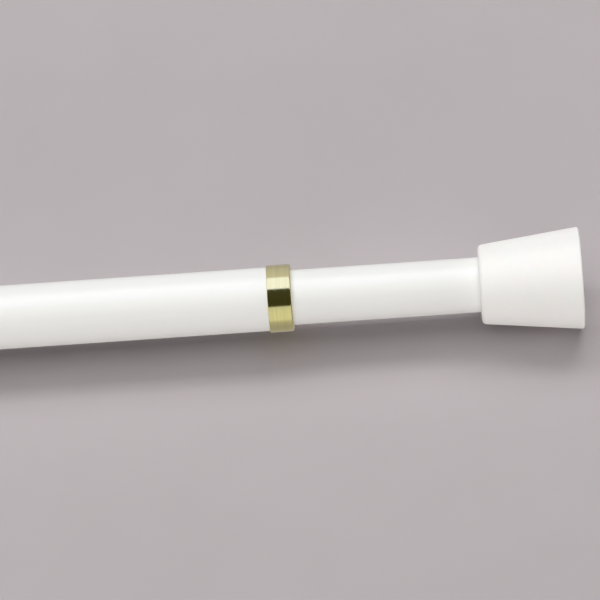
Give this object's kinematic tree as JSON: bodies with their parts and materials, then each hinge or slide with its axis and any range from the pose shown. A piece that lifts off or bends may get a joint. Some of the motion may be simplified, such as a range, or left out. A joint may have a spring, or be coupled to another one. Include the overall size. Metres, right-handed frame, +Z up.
{
  "type": "spring tension rod",
  "caption": "Telescoping curtain rod: two round white tubes with a brass collar, blunt vinyl end tips, a twist lock and a pressure spring inside.",
  "frame": {"origin": "centre of the fixed end tip's wall face", "axes": "+X along the rod from the fixed end to the sliding end, +Z up"},
  "size_m": [0.5039, 0.0254, 0.0254],
  "materials": {
    "white_enamel": "gloss",
    "polished_brass": "polished",
    "ivory_vinyl": "satin",
    "white_nylon": "satin",
    "black_acetal": "satin",
    "spring_steel": "oiled",
    "zinc_steel": "zinc plated"
  },
  "bodies": {
    "outer": {"outer_tube": "white_enamel", "trim_ring": "polished_brass", "mouth_liner": "white_nylon", "fixed_end_tip": "ivory_vinyl", "fixed_end_disc": "zinc_steel"},
    "lock_sleeve": {"expander_sleeve": "white_nylon"},
    "wedge": {"wedge_nut": "black_acetal"},
    "lock_shaft": {"lock_shaft": "black_acetal", "thrust_washer": "zinc_steel", "collar_washer": "zinc_steel", "stop_washer": "zinc_steel", "stop_screw": "zinc_steel", "buffer_washer": "white_nylon", "retaining_clip": "spring_steel", "compression_spring": "spring_steel"},
    "sliding_end": {"inner_tube": "white_enamel", "guide_bushing": "white_nylon", "bushing_washer": "zinc_steel", "sliding_end_disc": "zinc_steel", "sliding_end_tip": "ivory_vinyl"}
  },
  "joints": [
    {"name": "length_adjust", "type": "slide", "parent": "outer", "child": "lock_sleeve", "axis": [1, 0, 0], "range_m": [-0.021, 0.2072]},
    {"name": "lock_twist", "type": "hinge", "parent": "lock_sleeve", "child": "lock_shaft", "pos_m": [0, 0, 0], "axis": [1, 0, 0], "range_deg": [0, 360]},
    {"name": "wedge_travel", "type": "slide", "parent": "lock_sleeve", "child": "wedge", "axis": [1, 0, 0], "range_m": [-0.00305, 0]},
    {"name": "spring_compress", "type": "slide", "parent": "lock_shaft", "child": "sliding_end", "axis": [1, 0, 0], "range_m": [-0.0254, 0], "stiffness_N_per_m": 2700, "springref_m": 0.004, "deforming": ["compression_spring"]}
  ],
  "couplings": [
    {"joint": "wedge_travel", "follows": "lock_twist", "m_per_rad": -0.00047746}
  ]
}
